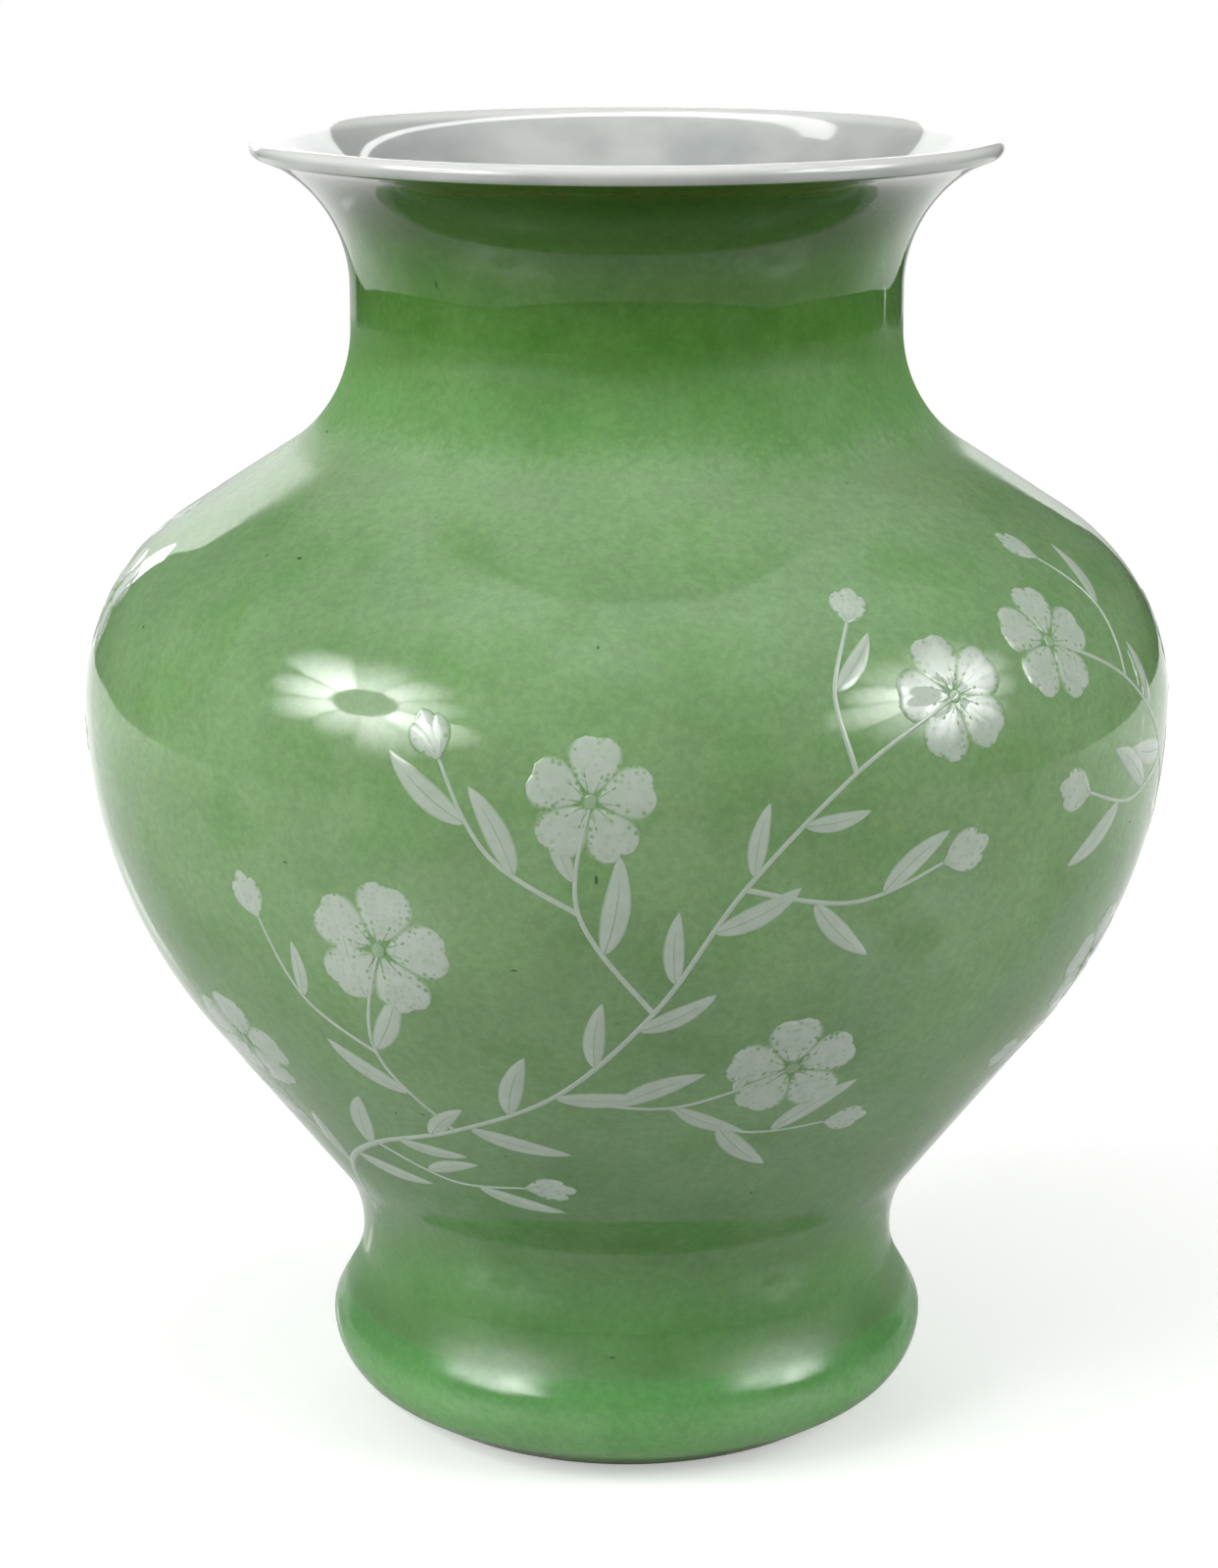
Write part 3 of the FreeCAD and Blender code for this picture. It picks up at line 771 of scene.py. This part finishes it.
# %% Layout of a spray
SPRAY_RADIUS = 95.0
STEM_HALF_WIDTH, STEM_TAPER = 1.05, 0.5
TWIG_HALF_WIDTH, TWIG_TAPER = 0.75, 0.6
BLOSSOM, BUD = 1, 2
MAIN_STEM = ((-80, 12), (-64, 30), (-42, 43), (-16, 53), (8, 67), (26, 88), (40, 112), (58, 131), (78, 142))
TWIGS = (
    (BLOSSOM, 1.00, ((-64, 30), (-70, 47), (-66, 66))),
    (BUD, 0.95, ((-42, 43), (-24, 35), (-4, 36))),
    (BLOSSOM, 1.10, ((-16, 53), (-26, 74), (-20, 98))),
    (BUD, 0.90, ((-26, 74), (-38, 84), (-44, 100))),
    (BLOSSOM, 1.00, ((8, 67), (30, 64), (52, 73))),
    (BUD, 0.90, ((30, 64), (46, 55), (64, 55))),
    (BLOSSOM, 0.92, ((26, 88), (14, 108), (16, 128))),
    (BUD, 0.90, ((14, 108), (0, 118), (-8, 134))),
    (BUD, 1.00, ((40, 112), (58, 108), (74, 113))),
    (BUD, 0.85, ((58, 131), (56, 145), (62, 158))),
)
END_BLOSSOM = 0.95
STEM_PART, WALL_PART, BRUSH_PART = 0, 3, 4
BRUSH_STEPS = 10
BRUSH_BACK = [(-0.4, 0.6), (-0.4, -0.6)]


def brush_loop():
    """The cross-section of a stroke: height first, from the low edges to 1, then how far across."""
    across = [-1 + 2 * k / BRUSH_STEPS for k in range(BRUSH_STEPS + 1)]
    return [(1 - y ** 2, y) for y in across] + BRUSH_BACK


def spray_base(name, mirror, raise_by):
    """A mesh that carries the plan: stems and the wall as lines, flowers and buds as single points."""
    points, edges, kinds, sizes, turns = [], [], [], [], []

    def add(kind, places, widths, turn=0.0, closed=False):
        first = len(points)
        points.extend([(*place, 0.0) for place in places])
        edges.extend((first + k, first + k + 1) for k in range(len(places) - 1))
        if closed:
            edges.append((first + len(places) - 1, first))
        kinds.extend([kind] * len(places))
        sizes.extend(widths)
        turns.extend([turn] * len(places))

    def stem(places, half_width, taper, kind, size):
        laid = [(mirror * x * MM, (y + raise_by) * MM) for x, y in places]
        last = len(laid) - 1
        add(STEM_PART, laid, [half_width * MM * (1 + (taper - 1) * k / last) for k in range(last + 1)])
        (x0, y0), (x1, y1) = laid[-2:]
        add(kind, laid[-1:], [size], math.atan2(y1 - y0, x1 - x0))

    stem(MAIN_STEM, STEM_HALF_WIDTH, STEM_TAPER, BLOSSOM, END_BLOSSOM)
    for kind, size, places in TWIGS:
        stem(places, TWIG_HALF_WIDTH, TWIG_TAPER, kind, size)
    wall = between(outline(GREEN_BACK), (WAIST_LOW + WAIST_HIGH) / 2, NECK_HIGH)
    add(WALL_PART, [(r * MM, z * MM) for r, z in wall], [0.0] * len(wall))
    loop = brush_loop()
    add(BRUSH_PART, loop, [0.0] * len(loop), closed=True)
    mesh = bpy.data.meshes.new(name + "_plan")
    mesh.from_pydata(points, edges, [])
    for label, values in (("kind", kinds), ("size", sizes), ("turn", turns)):
        mesh.attributes.new(label, "FLOAT", "POINT").data.foreach_set("value", values)
    return mesh

# %% [markdown]
# One tree grows the whole spray. It sweeps the stems, sets leaves along them on alternate sides,
# opens a blossom or a bud at the end of each twig, and last wraps everything onto the wall: how
# far round comes from x, how far up from the length along the wall, and the height of the slip
# from the brush's lens.

# %% Helpers for the spray tree
STROKE_STEPS, EDGE_WIDTH = 18, 0.05 * MM
PRESS_GAIN, PRESS_LEAST = 1.8, 0.25


def known(tree, name):
    """A number that the points of a geometry carry."""
    return out(tree, "GeometryNodeInputNamedAttribute", {"Name": name}, data_type="FLOAT")


def stored(tree, geometry, **values):
    """Writes plain numbers onto the points of a geometry."""
    for name, value in values.items():
        wires = {"Geometry": geometry, "Name": name, "Value": value}
        geometry = out(tree, "GeometryNodeStoreNamedAttribute", wires, data_type="FLOAT",
                       domain="POINT")
    return geometry


def part_of(tree, geometry, kind):
    """The points of the plan that are of one kind."""
    gap = maths(tree, "ABSOLUTE", minus(tree, known(tree, "kind"), kind))
    chosen = out(tree, "ShaderNodeMath", {0: gap, 1: 0.5}, operation="LESS_THAN")
    return put(tree, "GeometryNodeSeparateGeometry", {"Geometry": geometry, "Selection": chosen},
               domain="POINT").outputs["Selection"]


def joined(tree, *parts):
    node = put(tree, "GeometryNodeJoinGeometry")
    for part in parts:
        tree.links.new(part, node.inputs[0])
    return node.outputs[0]


def turn_about(tree, angle):
    """A turn in the flat plan."""
    return out(tree, "FunctionNodeAxisAngleToRotation", {"Axis": (0, 0, 1), "Angle": angle})


def placed(tree, points, shape, angle, size=(1, 1, 1), chosen=True):
    return out(tree, "GeometryNodeInstanceOnPoints", {
        "Points": points, "Instance": shape, "Rotation": turn_about(tree, angle), "Scale": size,
        "Selection": chosen})


def by_chance(tree, low, high, seed):
    """A different number for each point, between two limits."""
    node = put(tree, "FunctionNodeRandomValue", {2: low, 3: high, 8: seed}, data_type="FLOAT")
    return node.outputs[1]


def swept(tree, line, brush, width, press=1.0, white=1.0, dotted=0.0, over=0.0):
    """Sweeps the brush along a line. White is how pale the stroke is, over lifts it onto another."""
    level = out(tree, "GeometryNodeSetCurveNormal", {"Curve": line, "Normal": (0, 0, 1)}, mode="FREE")
    line = stored(tree, level, press=press, white=white, dotted=dotted, over=over)
    return out(tree, "GeometryNodeCurveToMesh", {"Curve": line, "Profile Curve": brush, "Scale": width,
                                                 "Fill Caps": True})


def stroke(tree, brush, length, half_width, widest, fullness, bend=0.0, start=0.0,
           steps=STROKE_STEPS, **look):
    """One touch of the brush along x. A larger widest moves its broad part to the tip."""
    line = out(tree, "GeometryNodeCurvePrimitiveLine", {"Start": (0, 0, 0), "End": (1, 0, 0)})
    line = out(tree, "GeometryNodeResampleCurve", {"Curve": line, "Count": steps})
    along = put(tree, "GeometryNodeSplineParameter").outputs["Factor"]
    aside = times(tree, maths(tree, "POWER", along, 2.0), times(tree, length, bend))
    place = out(tree, "ShaderNodeCombineXYZ", {
        "X": plus(tree, times(tree, along, length), start), "Y": aside})
    line = out(tree, "GeometryNodeSetPosition", {"Geometry": line, "Position": place})
    swell = maths(tree, "SINE", times(tree, maths(tree, "POWER", along, widest), math.pi))
    swell = maths(tree, "POWER", maths(tree, "MAXIMUM", swell, 0.0), fullness)
    width = plus(tree, times(tree, swell, half_width), EDGE_WIDTH)
    press = plus(tree, times(tree, swell, PRESS_GAIN), PRESS_LEAST)
    press = maths(tree, "MINIMUM", press, 1.0)
    return swept(tree, line, brush, width, press, **look)

# %% [markdown]
# A painter makes a leaf with one press of the brush and a petal with two, side by side, which
# leaves the notch at its tip. The shapes below are made of the same touches, lying along x, and
# are only copied and turned afterwards.

# %% Shapes of leaf, blossom and bud
PETALS, LOBE_TURN = 5, 10.5
STAMENS, STAMEN_TURN = 10, 18
BUD_TURN, SEPAL_TURN = 19, 26


def leaf(tree, brush, length, width, bend):
    """A pointed leaf with its midrib drawn in green."""
    half = times(tree, width, 0.5)
    blade = stroke(tree, brush, length, half, 0.80, 0.85, bend, white=0.97)
    rib = stroke(tree, brush, times(tree, length, 0.80), 0.22 * MM, 0.7, 0.5, bend * 0.8, white=0.45,
                 over=1.0)
    return joined(tree, blade, rib)


def fan(tree, shape, count, radius):
    """Copies of a shape that point outwards from a small ring."""
    ring = out(tree, "GeometryNodeMeshCircle", {"Vertices": count, "Radius": radius})
    here = here_in(tree)
    return placed(tree, ring, shape, maths(tree, "ARCTAN2", here["Y"], here["X"]))


def turned_shape(tree, shape, degrees):
    return out(tree, "GeometryNodeTransform", {"Geometry": shape,
                                               "Rotation": (0, 0, math.radians(degrees))})


def real(tree, geometry):
    return out(tree, "GeometryNodeRealizeInstances", {0: geometry})


def blossom(tree, brush, length, width):
    """Five notched petals, each of two touches of the brush, round a ring of stamens."""
    half = times(tree, width, 0.38)
    lobe = stroke(tree, brush, length, half, 1.60, 0.58, dotted=1.0, over=1.0)
    petal = joined(tree, turned_shape(tree, lobe, LOBE_TURN), turned_shape(tree, lobe, -LOBE_TURN))
    thread = stroke(tree, brush, 3.2 * MM, 0.20 * MM, 1.0, 0.3, steps=6, white=0.30, over=2.0)
    tip = stroke(tree, brush, 1.0 * MM, 0.50 * MM, 1.0, 0.5, start=3.0 * MM, steps=8, white=0.25, over=2.0)
    eye = stroke(tree, brush, 3.0 * MM, 1.5 * MM, 1.0, 0.5, start=-1.5 * MM, steps=12, white=0.40, over=2.0)
    stamens = real(tree, fan(tree, joined(tree, thread, tip), STAMENS, 1.5 * MM))
    stamens = turned_shape(tree, stamens, STAMEN_TURN)
    return real(tree, joined(tree, fan(tree, petal, PETALS, 0.9 * MM), stamens, eye))


def bud(tree, brush, length, width):
    """Three closed petals in a short green cup."""
    long, longest, short = (times(tree, length, share) for share in (0.78, 0.92, 0.38))
    narrow, wide = (times(tree, width, share) for share in (0.24, 0.26))
    side = stroke(tree, brush, long, narrow, 1.25, 0.75, dotted=1.0, over=1.0)
    middle = stroke(tree, brush, longest, wide, 1.35, 0.7, dotted=1.0, over=1.0)
    sepal = stroke(tree, brush, short, 0.8 * MM, 0.8, 0.8, white=0.85, over=2.0)
    return joined(tree, turned_shape(tree, side, BUD_TURN), turned_shape(tree, side, -BUD_TURN), middle,
                  turned_shape(tree, sepal, SEPAL_TURN), turned_shape(tree, sepal, -SEPAL_TURN))

# %% Tree that grows and wraps a spray
SLIP_SINK, SLIP_HEIGHT, SLIP_OVER = 0.13, 0.22, 0.03
STEM_STEP = 1.6
LEAF_SKIP_SHARE = 0.10
LEAF_OPENINGS, LEAF_SIZES, LEAF_BEND = (math.radians(32), math.radians(58)), (0.68, 1.12), 0.22


def spray_tree():
    sizes = ("Centre", "Leaf Gap", "Leaf Length", "Leaf Width", "Petal Length", "Petal Width")
    inputs = [(label, "Float") for label in sizes] + [("Seed", "Int"), ("Finish", "Material")]
    tree, given = shape_tree("grow_a_spray", "Plan", inputs, "Spray")
    plan = given["Plan"]
    here = here_in(tree)

    brush = out(tree, "GeometryNodeMeshToCurve", {0: part_of(tree, plan, BRUSH_PART)})
    brush = stored(tree, brush, lift=here["X"])
    wall = out(tree, "GeometryNodeMeshToCurve", {0: part_of(tree, plan, WALL_PART)})
    lines = out(tree, "GeometryNodeMeshToCurve", {0: part_of(tree, plan, STEM_PART)})
    lines = out(tree, "GeometryNodeCurveSplineType", {"Curve": lines}, spline_type="CATMULL_ROM")
    lines = out(tree, "GeometryNodeResampleCurve", {"Curve": lines, "Length": STEM_STEP * MM},
                mode="LENGTH")
    lines = stored(tree, lines, anchor=here["X"],
                   along=put(tree, "GeometryNodeSplineParameter").outputs["Factor"])
    stems = swept(tree, lines, brush, known(tree, "size"), white=0.95)

    spots = put(tree, "GeometryNodeCurveToPoints", {"Curve": lines, "Length": given["Leaf Gap"]},
                mode="LENGTH")
    heading = parts_of(tree, spots.outputs["Tangent"])
    ahead = maths(tree, "ARCTAN2", heading["Y"], heading["X"])
    order = out(tree, "GeometryNodeInputIndex")
    side = maths(tree, "MODULO", order, 2.0)
    on_stem = known(tree, "along")
    free = times(tree, maths(tree, "GREATER_THAN", on_stem, LEAF_SKIP_SHARE),
                 maths(tree, "LESS_THAN", on_stem, 1 - 1.6 * LEAF_SKIP_SHARE))
    opening = by_chance(tree, *LEAF_OPENINGS, given["Seed"])
    size = by_chance(tree, *LEAF_SIZES, plus(tree, given["Seed"], 7))
    leaves = []
    for which, sign in ((0.0, 1), (1.0, -1)):
        same = maths(tree, "LESS_THAN", maths(tree, "ABSOLUTE", minus(tree, side, which)), 0.5)
        blade = leaf(tree, brush, given["Leaf Length"], given["Leaf Width"], -LEAF_BEND * sign)
        angle = plus(tree, ahead, times(tree, opening, sign))
        chosen = times(tree, free, same)
        leaves.append(placed(tree, spots.outputs["Points"], blade, angle, size, chosen))

    flowers = []
    for kind, shape in ((BLOSSOM, blossom), (BUD, bud)):
        ends = out(tree, "GeometryNodeMeshToPoints", {0: part_of(tree, plan, kind)})
        ends = stored(tree, ends, anchor=here["X"])
        grown_shape = shape(tree, brush, given["Petal Length"], given["Petal Width"])
        flowers.append(placed(tree, ends, grown_shape, known(tree, "turn"), known(tree, "size")))

    flat = real(tree, joined(tree, stems, *leaves, *flowers))
    up_wall = put(tree, "GeometryNodeSampleCurve", {
        "Curves": wall, "Value": out(tree, "GeometryNodeInputPosition"), "Length": here["Y"]},
        mode="LENGTH", data_type="FLOAT_VECTOR")
    foot_point = parts_of(tree, up_wall.outputs["Position"])
    lean = parts_of(tree, up_wall.outputs["Tangent"])
    cover = times(tree, known(tree, "lift"), known(tree, "press"))
    height = plus(tree, times(tree, cover, SLIP_HEIGHT * MM), -SLIP_SINK * MM)
    height = plus(tree, height, times(tree, known(tree, "over"), SLIP_OVER * MM))
    radius = plus(tree, foot_point["X"], times(tree, height, lean["Y"]))
    level = minus(tree, foot_point["Y"], times(tree, height, lean["X"]))
    anchor = known(tree, "anchor")
    turn = plus(tree, given["Centre"], maths(tree, "DIVIDE", anchor, SPRAY_RADIUS * MM))
    aside = minus(tree, here["X"], anchor)
    turn = plus(tree, turn, maths(tree, "DIVIDE", aside, foot_point["X"]))
    on_vase = out(tree, "ShaderNodeCombineXYZ", {
        "X": times(tree, radius, maths(tree, "SINE", turn)),
        "Y": times(tree, times(tree, radius, maths(tree, "COSINE", turn)), -1.0),
        "Z": level})
    flat = stored(tree, flat, cover=cover)
    wrapped = out(tree, "GeometryNodeSetPosition", {"Geometry": flat, "Position": on_vase})
    smooth = out(tree, "GeometryNodeSetShadeSmooth", {"Geometry": wrapped}, domain="FACE")
    done = out(tree, "GeometryNodeSetMaterial", {"Geometry": real(tree, smooth),
                                                 "Material": given["Finish"]})
    put(tree, "NodeGroupOutput", {"Spray": done})
    return tree

# %% [markdown]
# The slip is a thin white veil over the green. So its material mixes the green glaze's own
# colour with white, by how thick the brush laid it, and pricks the petals with small dots that
# show the green.

# %% Slip finish
SLIP = colour(188, 201, 187)
SLIP_FROM, SLIP_FULL = 0.30, 0.72
DOT_SPACING = 0.0013

slip_finish, tree, glaze, where = new_finish("white_slip", 0.05)
cover, white, dotted = (put(tree, "ShaderNodeAttribute", attribute_name=label).outputs["Fac"]
                        for label in ("cover", "white", "dotted"))
thick = spread_of(tree, cover, SLIP_FROM, SLIP_FULL)
uneven = spread_of(tree, noise(tree, where, 0.0030, 3.0, 0.6), 0.25, 0.75, 0.80, 1.0)
pricks = put(tree, "ShaderNodeTexVoronoi", {"Vector": where, "Scale": 1 / DOT_SPACING, "Randomness": 0.7})
prick = spread_of(tree, pricks.outputs["Distance"], 0.40, 0.24)
rim = spread_of(tree, cover, 1.0, 0.60, 0.20, 0.85)
prick = times(tree, times(tree, prick, dotted), rim)
slip_share = times(tree, times(tree, thick, white), uneven)
slip_share = times(tree, slip_share, minus(tree, 1.0, prick))
tree.links.new(blend_of(tree, slip_share, green_colour(tree, where), SLIP), glaze.inputs["Base Color"])
bump(tree, glaze, noise(tree, where, DIMPLE_SIZE, 2.0), 0.25, DIMPLE_DEPTH)
print("slip shows from", SLIP_FROM, "of the brush's full height and is whitest from", SLIP_FULL)

# %% [markdown]
# Three sprays go round the belly, so that no side of it is bare. One is mirrored, they stand at
# slightly different heights, and each sets its leaves by its own seed.

# %% Three sprays round the belly
GROW = spray_tree()
print(len(GROW.nodes), "nodes grow a spray")

# Each: name, degrees round from the front, side to lean to, millimetres raised, and seed
SPRAYS = (("slip_spray_front", -13, 1, 0, 3), ("slip_spray_right", 97, -1, 6, 11),
          ("slip_spray_back", 232, 1, 4, 23))

for name, centre, mirror, raise_by, seed in SPRAYS:
    spray = grown(name, spray_base(name, mirror, raise_by), GROW, {
        "Centre": math.radians(centre), "Leaf Gap": 11.5 * MM, "Leaf Length": 18.0 * MM,
        "Leaf Width": 6.2 * MM, "Petal Length": 11.5 * MM, "Petal Width": 12.5 * MM, "Seed": seed,
        "Finish": slip_finish})
    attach(spray, "root")

# %% [markdown]
# The clay under the glaze shows only at the standing ring, but each thrown section has its own
# fired-clay finish: fine white grit, faint throwing rings and a warmer tone where the kiln
# flashed it. The recess under the foot is glazed thinly in the white glaze.

# %% Finish of the clay
THROWING_RING_GAP = 2.2 * MM
FLASH_SIZE, GRIT_SIZE, GRIT_DEPTH = 0.018, 0.0006, 0.00006


def clay_finish(name, tone, warm_tone):
    material, tree, body, where = new_finish(name, 0.62, 1.5)
    flash = spread_of(tree, noise(tree, where, FLASH_SIZE, 3.0, 0.6), 0.35, 0.70)
    grit = spread_of(tree, noise(tree, where, GRIT_SIZE, 2.0, 0.7), 0.35, 0.65, 0.90, 1.04)
    base = blend_of(tree, flash, tone, warm_tone)
    tree.links.new(blend_of(tree, 1.0, base, grey(tree, grit), "MULTIPLY"), body.inputs["Base Color"])
    height = parts_of(tree, where)["Z"]
    rings = maths(tree, "SINE", times(tree, height, 2 * math.pi / THROWING_RING_GAP))
    relief = plus(tree, times(tree, rings, 0.4), noise(tree, where, GRIT_SIZE, 3.0))
    bump(tree, body, relief, 0.35, GRIT_DEPTH)
    return material


clay = clay_finish("fired_clay", colour(214, 206, 190), colour(204, 186, 158))
slip_joint = clay_finish("joining_slip", colour(222, 216, 202), colour(210, 198, 176))
CLAY_NODES = {"foot_ring": clay, "base_floor": clay, "foot_section": clay, "waist_lute": slip_joint,
              "lower_body": clay, "belly_lute": slip_joint, "shoulder_section": clay,
              "neck_lute": slip_joint, "neck_and_mouth": clay, "recess_glaze": white_finish}
for node, finish in CLAY_NODES.items():
    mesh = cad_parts[node].data
    mesh.materials.clear()
    mesh.materials.append(finish)
print(len(CLAY_NODES), "carried nodes have their finish")
